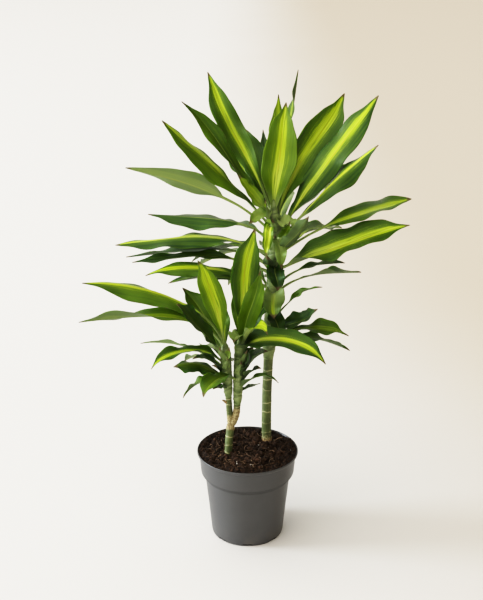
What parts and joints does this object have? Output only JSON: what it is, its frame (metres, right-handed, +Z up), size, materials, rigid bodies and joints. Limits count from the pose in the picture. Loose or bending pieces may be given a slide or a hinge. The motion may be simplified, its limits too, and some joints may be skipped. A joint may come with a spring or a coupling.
{
  "type": "potted corn plant",
  "caption": "Potted houseplant with canes that carry crowns of long, arching, lime-striped leaves, in a round tapered nursery pot filled with peat.",
  "frame": {"origin": "middle of the pot's underside, on the surface it stands on", "axes": "+Z up, +X to the right and +Y away from a viewer who faces the side that the picture shows"},
  "size_m": [0.5339, 0.383, 0.7594],
  "materials": {
    "pot_plastic": "satin dark grey moulded plastic",
    "peat": "loose damp dark brown peat",
    "green_cane": "smooth green skin with pale ring scars",
    "striped_leaf": "soft waxy green with a lime stripe down the middle"
  },
  "bodies": {
    "root": {"nursery_pot": "pot_plastic", "potting_soil": "peat", "rear_cane": "green_cane", "front_cane": "green_cane", "rear_leaf_crown": "striped_leaf", "front_left_leaf_crown": "striped_leaf", "front_right_leaf_crown": "striped_leaf"}
  },
  "joints": []
}
